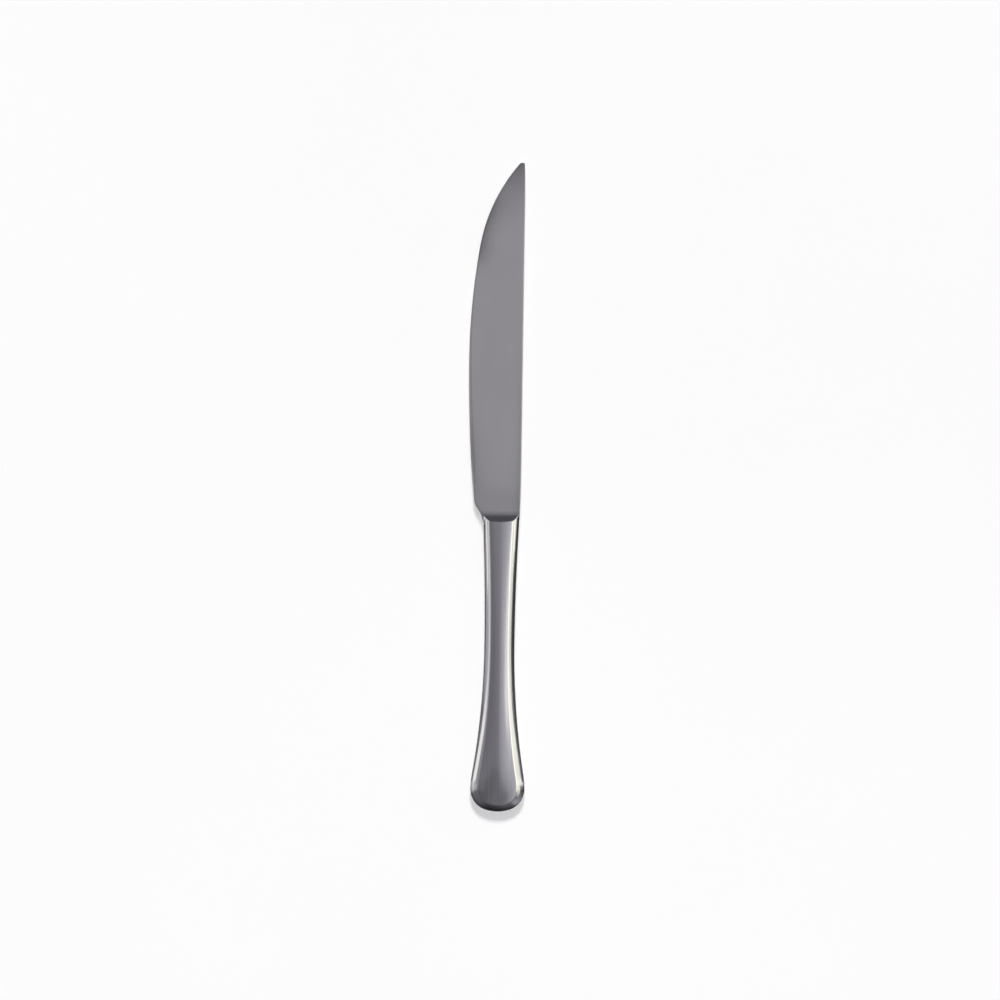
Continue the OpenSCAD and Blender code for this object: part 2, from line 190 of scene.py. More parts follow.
# Handle outline: two hollow arcs that meet at the waist, a swelling arc, a corner arc and an end arc
BUTT_AT = HANDLE_LENGTH - BUTT_REACH
FRONT_RISE = (MOUTH_WIDTH - WAIST_WIDTH) / 2
FRONT_R = (WAIST_AT**2 + FRONT_RISE**2) / (2 * FRONT_RISE)
FLARE_RISE = (BUTT_WIDTH - WAIST_WIDTH) / 2
FLARE_RUN = BUTT_AT - WAIST_AT
FLARE_SUM = (FLARE_RUN**2 + FLARE_RISE**2) / (2 * FLARE_RISE)
REAR_R = FLARE_SUM - SHOULDER_R
END_BACK = END_R - BUTT_REACH
CORNER_R = (END_R**2 - (BUTT_WIDTH / 2) ** 2 - END_BACK**2) / (2 * (END_R - BUTT_WIDTH / 2))
CORNER_X = BUTT_WIDTH / 2 - CORNER_R
END_TURN = math.atan2(CORNER_X, END_BACK)

# Joints along the handle
MOUTH_AT = BOLSTER_LENGTH + SOLDER_GAP
SPIGOT_END = BOLSTER_LENGTH + SPIGOT_LENGTH


def ease(u):
    return (1 - math.cos(math.pi * min(max(u, 0.0), 1.0))) / 2


def half_thick(s):
    """Half thickness of the handle at distance s behind the shoulder."""
    if s < WAIST_AT:
        return mix(WAIST_THICK, MOUTH_THICK, ease((WAIST_AT - s) / WAIST_AT)) / 2
    return mix(WAIST_THICK, BUTT_THICK, ease((s - WAIST_AT) / FLARE_RUN)) / 2


def face_crown(s):
    """Rise of the face above the crease: it grows from the waist to the butt."""
    return mix(FACE_CROWN, BUTT_CROWN, ease((s - WAIST_AT) / FLARE_RUN))


def crease_height(s):
    return half_thick(s) - face_crown(s) - SEAM_GAP / 2


def half_width(s, inset):
    """Half width of the handle's outline, moved inwards by inset, at distance s behind the shoulder."""
    if s < WAIST_AT:
        return WAIST_WIDTH / 2 + FRONT_R - math.sqrt((FRONT_R + inset) ** 2 - (WAIST_AT - s) ** 2)
    if s < WAIST_AT + FLARE_RUN * (REAR_R + inset) / FLARE_SUM:
        return WAIST_WIDTH / 2 + REAR_R - math.sqrt((REAR_R + inset) ** 2 - (s - WAIST_AT) ** 2)
    return BUTT_WIDTH / 2 - SHOULDER_R + math.sqrt((SHOULDER_R - inset) ** 2 - (BUTT_AT - s) ** 2)


def rail(station, inset):
    """Point of the outline, moved inwards. A station is a stretch of it and a place on that stretch."""
    stretch, at = station
    if stretch == "side":
        return half_width(at, inset), -at
    if stretch == "corner":
        radius = CORNER_R - inset
        return CORNER_X + radius * math.cos(at), -BUTT_AT - radius * math.sin(at)
    radius = END_R - inset
    return radius * math.sin(at), END_R - HANDLE_LENGTH - radius * math.cos(at)


def sideways(station):
    """How far the outline faces sideways at a station: 1 on the sides, 0 in the middle of the end."""
    stretch, at = station
    if stretch == "side":
        return 1.0
    return math.cos(at) if stretch == "corner" else math.sin(at)


def on_arc(centre, radius, turn):
    """Point of a section's arc: distance inwards and height. A turn of 0 is upright."""
    return centre[0] - radius * math.cos(turn), centre[1] + radius * math.sin(turn)


def arc_centre(point, radius, turn):
    return point[0] + radius * math.cos(turn), point[1] - radius * math.sin(turn)


# Section of the handle: an upright rim, its corner, a bowed bevel, the crease and the crowned face
RIM_TOP = on_arc((RIM_R, RIM_WALL), RIM_R, BEVEL_RIM_ANGLE)
CREASE_RISE = CREASE_R * (math.sin(FACE_EDGE_ANGLE) - math.sin(BEVEL_CREASE_ANGLE))
BEVEL_RISE = crease_height(0) - RIM_TOP[1] - CREASE_RISE
BEVEL_R = BEVEL_RISE / (math.sin(BEVEL_CREASE_ANGLE) - math.sin(BEVEL_RIM_ANGLE))
BEVEL_CENTRE = arc_centre(RIM_TOP, BEVEL_R, BEVEL_RIM_ANGLE)
BEVEL_TOP = on_arc(BEVEL_CENTRE, BEVEL_R, BEVEL_CREASE_ANGLE)
CREASE_CENTRE = arc_centre(BEVEL_TOP, CREASE_R, BEVEL_CREASE_ANGLE)
CREST_INSET = on_arc(CREASE_CENTRE, CREASE_R, FACE_EDGE_ANGLE)[0]


@functools.lru_cache(maxsize=None)
def profile(depth):
    """Distance inwards and height from the rim to the crease, on a surface depth below the outer one."""
    corner_r = max(RIM_R - depth, LEAST_BEND)
    corner_in = depth + corner_r
    to_bevel = BEVEL_R - depth - corner_r
    rim_turn = math.acos((BEVEL_CENTRE[0] - corner_in) / to_bevel)
    corner = (corner_in, BEVEL_CENTRE[1] + to_bevel * math.sin(rim_turn))
    rim = [on_arc(corner, corner_r, a) for a in spread(0, rim_turn, RIM_STEPS)]
    bevel = [
        on_arc(BEVEL_CENTRE, BEVEL_R - depth, a)
        for a in spread(rim_turn, BEVEL_CREASE_ANGLE, BEVEL_STEPS)
    ]
    crease = [
        on_arc(CREASE_CENTRE, CREASE_R - depth, a)
        for a in spread(BEVEL_CREASE_ANGLE, FACE_EDGE_ANGLE, CREASE_STEPS)
    ]
    return [(depth, 0.0)] + rim + bevel[1:] + crease[1:]


# Points of a half section, from rim to crease, on one rim, in all, and the first one on the left rim
PROFILE_SIZE = len(profile(0.0))
RIM_COUNT = RIM_STEPS + 2
HALF_SIZE = 2 * PROFILE_SIZE + FACE_STEPS - 1
LEFT_RIM = HALF_SIZE - RIM_COUNT


def widening(station):
    """How much wider than at the mouth the bevel is: it grows beside the butt, but not at its end."""
    stretch, at = station
    extra = BUTT_BEVEL_EXTRA / CREST_INSET
    if stretch == "side":
        return 1 + extra * ease((at - WAIST_AT) / FLARE_RUN)
    return 1 + extra * sideways(station) ** 2


def surface_point(station, place, depth):
    inset, height = place
    x, y = rail(station, depth + (inset - depth) * widening(station))
    return x, y, SEAM_GAP / 2 + height * crease_height(-y) / crease_height(0)


def crown_share(s):
    """Share of the crown that is left near the end of the butt, where the face falls away."""
    face_end = HANDLE_LENGTH - CREST_INSET
    return 1 - min(max(1 - (face_end - s) / CROWN_FALL, 0.0), 1.0) ** 2


def section(station, depth=0.0):
    """Upper half of a section of the handle, from the right rim over the face to the left rim.

    The face leaves the crease at the crease's own slope and rises by the crown to its middle."""
    right = [surface_point(station, place, depth) for place in profile(depth)]
    crest_x, crest_y, crest_z = right[-1]
    crown = face_crown(-crest_y) * crown_share(-crest_y)
    lean = crest_x * sideways(station) / math.tan(FACE_EDGE_ANGLE) / widening(station) / 2
    face = []
    for u in spread(1, -1, FACE_STEPS)[1:-1]:
        bow = 1 - u * u
        face.append((crest_x * u, crest_y, crest_z + lean * bow + (crown - lean) * bow * bow))
    return right + face + [(-x, y, z) for x, y, z in reversed(right)]


@functools.lru_cache(maxsize=None)
def side_section(s):
    return section(("side", s))


def section_wear():
    """Wear across the upper half of a section: on the crease and, less, on the rim."""
    rim = [RIM_WEAR] * RIM_COUNT
    crease = [4 * t * (1 - t) for t in spread(0, 1, CREASE_STEPS)]
    half = rim + [0.0] * (BEVEL_STEPS - 1) + crease
    return half + [0.0] * (FACE_STEPS - 1) + half[::-1]


SECTION_WEAR = section_wear()


class Skin:
    """Points, faces and per-point values of a mesh while it is being built."""

    def __init__(self):
        self.points = []
        self.faces = []
        # Per-point values: wear, polish, and the painted shade that darkens the colour
        self.values = {"wear": [], "polish": [], "shade": []}

    def row(self, points, **values):
        """Adds a row of points, with their values where these aren't 0, and gives their numbers."""
        first = len(self.points)
        self.points.extend(points)
        for label, kept in self.values.items():
            kept.extend(values.get(label, [0.0] * len(points)))
        return list(range(first, len(self.points)))

    def strip(self, first, second):
        """Joins two rows of point numbers by faces. A place where the rows share points is closed."""
        for j in range(len(first) - 1):
            corners = (first[j], first[j + 1], second[j + 1], second[j])
            self.faces.append(tuple(dict.fromkeys(corners)))

    def piece(self, name, material, node):
        """The finished piece, which stands for a node: smooth, with its sharp edges kept."""
        mesh = bpy.data.meshes.new(name)
        mesh.from_pydata([in_part_frame(p) for p in self.points], [], self.faces)
        work = bmesh.new()
        work.from_mesh(mesh)
        bmesh.ops.recalc_face_normals(work, faces=work.faces)
        work.to_mesh(mesh)
        work.free()
        for label, values in self.values.items():
            mesh.attributes.new(label, "FLOAT", "POINT").data.foreach_set("value", values)
        mesh.shade_smooth()
        mesh.set_sharp_from_angle(angle=SHARP_ANGLE)
        mesh.materials.append(material)
        made = bpy.data.objects.new(name, mesh)
        bpy.context.scene.collection.objects.link(made)
        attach(made, "root")
        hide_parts(node)
        return made


# Half shells of the handle
def shell_stations():
    sides = [("side", s) for s in spread(MOUTH_AT, BUTT_AT, SIDE_STEPS)]
    corner = [("corner", a) for a in spread(0, math.pi / 2 - END_TURN, CORNER_STEPS)]
    end = [("end", a) for a in spread(END_TURN, 0, END_STEPS)]
    return sides + corner[1:] + end[1:-1]


def shell_rows(skin, depth, side):
    """Adds one face of a shell's wall, from the mouth to the line in which its end closes."""
    rows = []
    for station in shell_stations():
        points = [(x, y, side * z) for x, y, z in section(station, depth)]
        rows.append(skin.row(points, wear=SECTION_WEAR, polish=[1.0] * HALF_SIZE))
    line = []
    for place in profile(depth):
        _, y, z = surface_point(("end", 0.0), place, depth)
        line.append((0.0, y, side * z))
    closing = skin.row(line, wear=SECTION_WEAR[: len(line)], polish=[1.0] * len(line))
    rows.append(closing + closing[-1:] * (FACE_STEPS - 1) + closing[::-1])
    for first, second in zip(rows, rows[1:]):
        skin.strip(first, second)
    return rows


def make_shell(name, node, side, material):
    """side is 1 for the front shell and -1 for the back one, its mirror image."""
    skin = Skin()
    outer = shell_rows(skin, 0.0, side)
    inner = shell_rows(skin, WALL, side)
    skin.strip(outer[0], inner[0])
    for edge in (0, -1):
        skin.strip([row[edge] for row in outer], [row[edge] for row in inner])
    return skin.piece(name, material, node)


# Cutting edge of the blade: three arcs that run into each other, from the heel to the tip
EDGE_X = SPINE_OFFSET - BLADE_WIDTH
BELLY_CENTRE = Vector((EDGE_X + BELLY_CURVE_R, WIDEST_AT))
BELLY_TURN = math.asin((TIP_CURVE_AT - WIDEST_AT) / BELLY_CURVE_R)
INWARD = Vector((math.cos(BELLY_TURN), -math.sin(BELLY_TURN)))
BELLY_END = BELLY_CENTRE - BELLY_CURVE_R * INWARD
TIP_CHORD = Vector((SPINE_OFFSET - SPINE_DROP - TIP_WIDTH, BLADE_LENGTH)) - BELLY_END
TIP_CURVE_R = TIP_CHORD.length_squared / (2 * TIP_CHORD.dot(INWARD))
TIP_CENTRE = BELLY_END + TIP_CURVE_R * INWARD

# Heel: a corner arc from the cutting edge, a straight line and a foot that ends at the back of the bolster
HEEL_CENTRE = Vector((EDGE_X + HEEL_CURVE_R, WIDEST_AT))
HEEL_DIR = Vector((-math.sin(HEEL_ANGLE), math.cos(HEEL_ANGLE)))
HEEL_NORMAL = Vector((math.cos(HEEL_ANGLE), math.sin(HEEL_ANGLE)))
HEEL_START = Vector((-MOUTH_WIDTH / 2, -HEEL_REACH))
FOOT_DIR = Vector((-math.sin(FOOT_ANGLE), math.cos(FOOT_ANGLE)))
FOOT_NORMAL = Vector((math.cos(FOOT_ANGLE), math.sin(FOOT_ANGLE)))
FOOT_START = Vector((FOOT_INSET - half_width(BOLSTER_LENGTH, 0.0), -BOLSTER_LENGTH))
FOOT_TO_HEEL = HEEL_START - FOOT_START + FOOT_R * (FOOT_NORMAL - HEEL_NORMAL)
FOOT_LENGTH = FOOT_TO_HEEL.cross(HEEL_DIR) / FOOT_DIR.cross(HEEL_DIR)
FOOT_CENTRE = FOOT_START - FOOT_R * FOOT_NORMAL + FOOT_LENGTH * FOOT_DIR
FOOT_LOW_Y = FOOT_CENTRE.y + FOOT_R * FOOT_NORMAL.y
FOOT_TOP_Y = FOOT_CENTRE.y + FOOT_R * HEEL_NORMAL.y
CORNER_FROM = HEEL_START + HEEL_CORNER_R * HEEL_NORMAL - HEEL_CENTRE
CORNER_SLIDE = CORNER_FROM.dot(HEEL_DIR)
CORNER_ROOM = (HEEL_CURVE_R - HEEL_CORNER_R) ** 2 - CORNER_FROM.length_squared
CORNER_REACH = math.sqrt(CORNER_SLIDE**2 + CORNER_ROOM) - CORNER_SLIDE
CORNER_CENTRE = HEEL_CENTRE + CORNER_FROM + CORNER_REACH * HEEL_DIR
CORNER_TOP_Y = CORNER_CENTRE.y + HEEL_CORNER_R * (CORNER_CENTRE - HEEL_CENTRE).normalized().y
CORNER_LOW_Y = CORNER_CENTRE.y - HEEL_CORNER_R * math.sin(HEEL_ANGLE)

# Spine: straight, eased in by one arc to the side of the handle and bent down by another to the tip
EASE_DROP = SPINE_OFFSET - MOUTH_WIDTH / 2
EASE_R = (SPINE_EASE**2 + EASE_DROP**2) / (2 * EASE_DROP)
BEND_RUN = BLADE_LENGTH - SPINE_BEND_AT
BEND_R = (BEND_RUN**2 + SPINE_DROP**2) / (2 * SPINE_DROP)
BEND_TURN = math.asin((BEND_RUN - TIP_CORNER_R) / (BEND_R - TIP_CORNER_R))
TIP_CORNER_X = SPINE_OFFSET - BEND_R + (BEND_R - TIP_CORNER_R) * math.cos(BEND_TURN)
TIP_CORNER_Y = BLADE_LENGTH - TIP_CORNER_R

# Flanks: planes that thin the blade towards edge and tip
ROOT_HALF = SPINE_THICK / 2
TAPER = (ROOT_HALF - TIP_THICK / 2) / BLADE_LENGTH
FALL = (ROOT_HALF - TAPER * WIDEST_AT - EDGE_THICK / 2) / BLADE_WIDTH

# Heights between which the edge bevel runs out into the heel
BEVEL_FADE = (CORNER_LOW_Y, BEVEL_FULL_AT)


def left_of(centre, radius, y):
    return centre.x - math.sqrt(radius**2 - (y - centre.y) ** 2)


def right_of(centre_x, centre_y, radius, y):
    return centre_x + math.sqrt(max(radius**2 - (y - centre_y) ** 2, 0.0))


def edge_line(y):
    """x of the heel and the cutting edge at height y."""
    if y < FOOT_LOW_Y:
        return FOOT_START.x - (y - FOOT_START.y) * math.tan(FOOT_ANGLE)
    if y < FOOT_TOP_Y:
        return right_of(FOOT_CENTRE.x, FOOT_CENTRE.y, FOOT_R, y)
    if y < CORNER_LOW_Y:
        return HEEL_START.x - (y - HEEL_START.y) * math.tan(HEEL_ANGLE)
    if y < CORNER_TOP_Y:
        return left_of(CORNER_CENTRE, HEEL_CORNER_R, y)
    if y < WIDEST_AT:
        return left_of(HEEL_CENTRE, HEEL_CURVE_R, y)
    if y < BELLY_END.y:
        return left_of(BELLY_CENTRE, BELLY_CURVE_R, y)
    return left_of(TIP_CENTRE, TIP_CURVE_R, y)


def spine_line(y):
    """x of the spine at height y."""
    if y < SPINE_EASE:
        return right_of(SPINE_OFFSET - EASE_R, SPINE_EASE, EASE_R, max(y, 0.0))
    if y < SPINE_BEND_AT:
        return SPINE_OFFSET
    if y < TIP_CORNER_Y:
        return right_of(SPINE_OFFSET - BEND_R, SPINE_BEND_AT, BEND_R, y)
    return right_of(TIP_CORNER_X, TIP_CORNER_Y, TIP_CORNER_R, y)


def flank(x, y):
    """Half thickness of the blade."""
    return ROOT_HALF - TAPER * y - FALL * (SPINE_OFFSET - x)


@functools.lru_cache(maxsize=None)
def spine_points(y):
    """The wall of the spine and its rounded corner, from the middle of the thickness to the flank."""
    x = spine_line(y)
    top = flank(x, y)
    points = [(x, SEAM_GAP / 2)]
    for a in spread(0, math.pi / 2, RIM_STEPS):
        points.append((x - SPINE_ROUND * (1 - math.cos(a)), top - SPINE_ROUND * (1 - math.sin(a))))
    return points


@functools.lru_cache(maxsize=None)
def edge_points(y):
    """From the flank to the middle of the thickness: the edge bevel, or the rounded wall of the heel."""
    x = edge_line(y)
    lean = (x - edge_line(y - SLOPE_STEP)) / SLOPE_STEP
    across = (flank(x, y) - EDGE_LAND / 2) / (math.tan(EDGE_ANGLE) - FALL)
    wide = across * math.sqrt(1 + lean**2)
    top = flank(x + wide, y)
    ground = [(mix(x + wide, x, t), mix(top, EDGE_LAND / 2, t)) for t in spread(0, 1, RIM_STEPS + 1)]
    wall_top = flank(x + HEEL_ROUND, y)
    wall = []
    for a in spread(0, math.pi / 2, RIM_STEPS):
        wall.append((x + HEEL_ROUND * (1 - math.sin(a)), wall_top - HEEL_ROUND * (1 - math.cos(a))))
    wall.append((x, SEAM_GAP / 2))
    grind = blend_of(y, BEVEL_FADE)
    return [(mix(w[0], g[0], grind), mix(w[1], g[1], grind)) for w, g in zip(wall, ground)]


# Blade and bolster in one surface: columns run from the right rim of the bolster to the left one and,
# further on, from the spine of the blade to its edge
RAMP_FALL = math.tan(RAMP_ANGLE)
TOP_REACH = RAMP_TOP_ROUND / RAMP_FALL
FOOT_REACH = RAMP_FOOT_R * math.tan(RAMP_ANGLE / 2)
SHORTEST_RAMP = 0.3 * MM
LONGEST_BEND_SHARE = 0.4
RAMP_SAMPLE = 1.5 * MM

# Heights between which the bolster passes into the blade: right rim, columns, left rim, polish
SPINE_BLEND = (-1.0 * MM, 0.3 * MM)
COLUMN_SPREAD = (-0.2 * MM, 5 * MM)
WEB_GROWTH = (-BOLSTER_LENGTH, -1.5 * MM)
POLISH_END = (-0.2 * MM, 0.7 * MM)

# Heights at which the rows over the blade change their spacing
FIRST_BLADE_ROW = 1.2 * MM
HEEL_ROWS_END = 25 * MM
TIP_ROWS_START = 118 * MM


def column_shares():
    """Place of each column between the two rims, as a share of the width."""
    upper = side_section(0.0)
    right, left = upper[RIM_COUNT - 1][0], upper[LEFT_RIM][0]
    return [(right - x) / (right - left) for x, _, _ in upper]


COLUMN_SHARES = column_shares()


def ramp_rise(y):
    """Height of the shoulder above the blade's flank, with the hollow at its foot."""
    if y <= -FOOT_REACH:
        return -RAMP_FALL * y
    return RAMP_FALL * max(FOOT_REACH - y, 0.0) ** 2 / (4 * FOOT_REACH)


def soft_min(a, b, rounding):
    """The lower of two heights, with the corner where they cross rounded off."""
    return min(a, b) - max(rounding - abs(a - b), 0.0) ** 2 / (4 * rounding)


def blade_point(j, y):
    """Point of the upper half of blade and bolster in column j at height y."""
    form_x, _, form_z = side_section(max(-y, 0.0))[j]
    at_spine = blend_of(y, SPINE_BLEND)
    if j < RIM_COUNT:
        x, z = spine_points(y)[j]
        return mix(form_x, x, at_spine), y, mix(form_z, z, at_spine)
    if j >= LEFT_RIM:
        x, z = edge_points(y)[j - LEFT_RIM]
        web = blend_of(y, WEB_GROWTH)
        return mix(form_x, x, web), y, mix(form_z, z, web)
    right, left = spine_points(y)[-1][0], edge_points(y)[0][0]
    x = mix(form_x, mix(right, left, COLUMN_SHARES[j]), blend_of(y, COLUMN_SPREAD))
    ramp = flank(x, y) + ramp_rise(y)
    return x, y, mix(soft_min(form_z, ramp, RAMP_TOP_ROUND), ramp, at_spine)


def shoulder_heights(j):
    """Heights of the rows over the bolster in column j: they follow the two bends of its shoulder."""
    form_x, _, form_z = side_section(RAMP_SAMPLE)[j]
    length = max((form_z - flank(form_x, 0.0)) / RAMP_FALL, SHORTEST_RAMP)
    longest = LONGEST_BEND_SHARE * length
    top = min(TOP_REACH, longest)
    foot = min(FOOT_REACH, longest)
    heights = [-BOLSTER_LENGTH]
    ends = (-length - top, -length + top, -foot, foot, FIRST_BLADE_ROW)
    for end, steps in zip(ends, SHOULDER_STEPS):
        heights += spread(heights[-1], end, steps)[1:]
    return heights


def blade_heights():
    """Heights of the rows over the blade, closer together at the heel and the tip."""
    heights = spread(FIRST_BLADE_ROW, HEEL_ROWS_END, HEEL_ROWS)[1:]
    heights += spread(HEEL_ROWS_END, TIP_ROWS_START, BELLY_ROWS)[1:]
    heights += spread(TIP_ROWS_START, TIP_CORNER_Y, TIP_ROWS)[1:]
    turns = spread(0, math.pi / 2, ARC_STEPS)[1:]
    return heights + [TIP_CORNER_Y + TIP_CORNER_R * math.sin(a) for a in turns]


def blade_wear(j, y):
    """Wear on the spine's corners and on the edge; over the bolster, that of the handle."""
    if y < 0:
        return SECTION_WEAR[j]
    if j < RIM_COUNT:
        return SPINE_WEAR
    return EDGE_WEAR if j >= LEFT_RIM else 0.0


# Painted shade on the blade: how dark each part of it is, the heights between which it comes in and goes
# out, and how far it reaches from the edge or the spine
TIP_SHADE = 0.43
TIP_SHADE_FROM = 98 * MM
TIP_SHADE_RUN = 29 * MM
BELLY_SHADE = 0.5
BELLY_SHADE_IN = (86 * MM, 98 * MM)
BELLY_SHADE_OUT = (108 * MM, 120 * MM)
BELLY_SHADE_LOSS = 0.75
HEEL_SHADE = 0.25
HEEL_SHADE_IN = (4 * MM, 14 * MM)
HEEL_SHADE_OUT = (20 * MM, 40 * MM)
EDGE_SHADE_REACH = 2.8 * MM
SPINE_SHADE = 0.28
SPINE_SHADE_OUT = (20 * MM, 75 * MM)
SPINE_SHADE_REACH = 1.2 * MM
ROOT_SHADE = 0.12
ROOT_SHADE_OUT = (5 * MM, 14 * MM)
HOLLOW_SHADE = 0.22
HOLLOW_SHADE_OUT = (0.5 * MM, 1.8 * MM)
SHADE_START = (-0.4 * MM, 0.2 * MM)


def blade_shade(x, y):
    """How much painted shade darkens the steel: towards the tip, along the edge and the spine, and at the
    shoulder.
    """
    tip = TIP_SHADE * max((y - TIP_SHADE_FROM) / TIP_SHADE_RUN, 0.0) ** 2
    belly = BELLY_SHADE * blend_of(y, BELLY_SHADE_IN)
    belly *= 1 - BELLY_SHADE_LOSS * blend_of(y, BELLY_SHADE_OUT)
    heel = HEEL_SHADE * blend_of(y, HEEL_SHADE_IN) * (1 - blend_of(y, HEEL_SHADE_OUT))
    edge = (belly + heel) * math.exp((edge_line(y) - x) / EDGE_SHADE_REACH)
    spine = SPINE_SHADE * (1 - blend_of(y, SPINE_SHADE_OUT))
    spine *= math.exp((x - spine_line(y)) / SPINE_SHADE_REACH)
    root = ROOT_SHADE * (1 - blend_of(y, ROOT_SHADE_OUT))
    root += HOLLOW_SHADE * (1 - blend_of(y, HOLLOW_SHADE_OUT))
    light = (1 - tip) * (1 - edge) * (1 - spine) * (1 - root)
    return (1 - light) * blend_of(y, SHADE_START)


def whole(upper):
    """A whole section from its upper half."""
    return upper + [(x, y, -z) for x, y, z in reversed(upper)]


def whole_row(skin, upper, **values):
    """Adds a whole section and gives its point numbers, closed by the first one."""
    row = skin.row(whole(upper), **{label: half + half[::-1] for label, half in values.items()})
    return row + row[:1]


def tang_outline():
    """Right half of the tang's outline, from inside the spigot to the middle of its round end."""
    half = TANG_WIDTH / 2
    end = SPIGOT_END + TANG_LENGTH
    points = [(half, -SPIGOT_END + SPIGOT_LENGTH / 2)]
    for i in range(1, int((TANG_LENGTH - TANG_WIDTH) / NOTCH_PITCH) + 1):
        notch_y = -SPIGOT_END - i * NOTCH_PITCH
        for a in spread(0, math.pi, ARC_STEPS):
            points.append((half - NOTCH_R * math.sin(a), notch_y + NOTCH_R * math.cos(a)))
    for a in spread(0, math.pi / 2, ARC_STEPS):
        points.append((half * math.cos(a), half - end - half * math.sin(a)))
    return points


def add_tang(skin):
    right = tang_outline()
    outline = right + [(-x, y) for x, y in reversed(right[:-1])]
    rows = []
    for z in (TANG_THICK / 2, -TANG_THICK / 2):
        rows.append(skin.row([(x, y, z) for x, y in outline]))
        skin.faces.append(tuple(rows[-1]))
    skin.strip(rows[0] + rows[0][:1], rows[1] + rows[1][:1])


def make_blade(material):
    skin = Skin()
    rows = []
    for s in (SPIGOT_END, BOLSTER_LENGTH):
        rows.append(whole_row(skin, section(("side", s), WALL + FIT)))
    shoulder = zip(*[shoulder_heights(j) for j in range(HALF_SIZE)])
    for heights in list(shoulder) + [[y] * HALF_SIZE for y in blade_heights()]:
        upper = [blade_point(j, y) for j, y in enumerate(heights)]
        wear = [blade_wear(j, y) for j, y in enumerate(heights)]
        polish = [1 - blend_of(y, POLISH_END) for y in heights]
        # Painted shade: how much each point's colour is darkened towards black
        shade = [blade_shade(x, y) for x, y, _ in upper]
        rows.append(whole_row(skin, upper, wear=wear, polish=polish, shade=shade))
    for first, second in zip(rows, rows[1:]):
        skin.strip(first, second)
    for row in (rows[0], rows[-1]):
        skin.strip(row[:HALF_SIZE], row[2 * HALF_SIZE - 1:HALF_SIZE - 1:-1])
    add_tang(skin)
    return skin.piece("blade_forged", material, "blade")


# Shader nodes
def start_material(name):
    material = bpy.data.materials.new(name)
    material.use_nodes = True
    return material, material.node_tree, material.node_tree.nodes["Principled BSDF"]


def add_node(tree, kind, inputs=(), **settings):
    """A node with its settings, and with its inputs set to values or linked to sockets."""
    made = tree.nodes.new(kind)
    for key, value in settings.items():
        setattr(made, key, value)
    for key, value in dict(inputs).items():
        if isinstance(value, bpy.types.NodeSocket):
            tree.links.new(value, made.inputs[key])
        else:
            made.inputs[key].default_value = value
    return made


def noise(tree, stretch, scale, detail):
    """Noise in the object's own coordinates, stretched by a factor for each axis."""
    place = add_node(tree, "ShaderNodeTexCoord").outputs["Object"]
    drawn = add_node(tree, "ShaderNodeMapping", {"Vector": place, "Scale": stretch}).outputs[0]
    inputs = {"Vector": drawn, "Scale": scale, "Detail": detail}
    return add_node(tree, "ShaderNodeTexNoise", inputs).outputs["Fac"]


def attribute(tree, name):
    return add_node(tree, "ShaderNodeAttribute", attribute_name=name).outputs["Fac"]


def mapped(tree, value, low, high, start=0.3, end=0.7):
    """A value from start to end brought to the range from low to high. Most noise lies from 0.3 to 0.7."""
    inputs = {"Value": value, "From Min": start, "From Max": end, "To Min": low, "To Max": high}
    return add_node(tree, "ShaderNodeMapRange", inputs).outputs[0]


def combined(tree, operation, a, b):
    """The sum or the product of two numbers."""
    return add_node(tree, "ShaderNodeMath", {0: a, 1: b}, operation=operation).outputs[0]


def mixed(tree, factor, a, b):
    return add_node(tree, "ShaderNodeMix", {0: factor, 2: a, 3: b}, data_type="FLOAT").outputs[0]


def mixed_colour(tree, factor, a, b, blend="MIX"):
    made = add_node(tree, "ShaderNodeMix", {0: factor, 6: a, 7: b}, data_type="RGBA", blend_type=blend)
    return made.outputs[2]


def product(tree, a, b):
    """The product of two colours or grey levels."""
    return mixed_colour(tree, 1.0, a, b, "MULTIPLY")


def bumped(tree, shader, height, strength, relief):
    """Gives a surface relief, as deep as the given length, from a pattern's height."""
    bump = add_node(tree, "ShaderNodeBump", {"Height": height, "Strength": strength, "Distance": relief})
    tree.links.new(bump.outputs[0], shader.inputs["Normal"])


def ramp_node(tree, value, stops):
    """A smooth curve through stops of place and grey level."""
    made = add_node(tree, "ShaderNodeValToRGB", {"Fac": value})
    made.color_ramp.interpolation = "EASE"
    elements = made.color_ramp.elements
    while len(elements) < len(stops):
        elements.new(1.0)
    for (place, level), element in zip(stops, elements):
        element.position = place
        element.color = (level, level, level, 1)
    return made.outputs["Color"]


# Colours of the materials
BLACK = (0, 0, 0, 1)
WHITE = (1, 1, 1, 1)
SATIN_LIGHT = (0.825, 0.82, 0.825, 1)
SATIN_DARK = (0.77, 0.765, 0.77, 1)
POLISH_LIGHT = (0.64, 0.64, 0.65, 1)
POLISH_DARK = (0.59, 0.59, 0.6, 1)
WORN_LIGHT = (0.72, 0.72, 0.72, 1)
BRAZE_LIGHT = (0.6, 0.59, 0.56, 1)
BRAZE_DARK = (0.5, 0.49, 0.46, 1)
SOLDER_LIGHT = (0.61, 0.6, 0.6, 1)
SOLDER_DARK = (0.56, 0.55, 0.55, 1)
CEMENT_LIGHT = (0.34, 0.32, 0.29, 1)
CEMENT_DARK = (0.2, 0.18, 0.16, 1)
FLOOR_LIGHT = (0.97, 0.97, 0.96, 1)
FLOOR_DARK = (0.95, 0.95, 0.94, 1)

# Least and greatest roughness
SATIN_ROUGHNESS = (0.32, 0.4)
POLISH_ROUGHNESS = (0.09, 0.13)
BRAZE_ROUGHNESS = (0.2, 0.3)
SOLDER_ROUGHNESS = (0.1, 0.14)
CEMENT_ROUGHNESS = 0.9

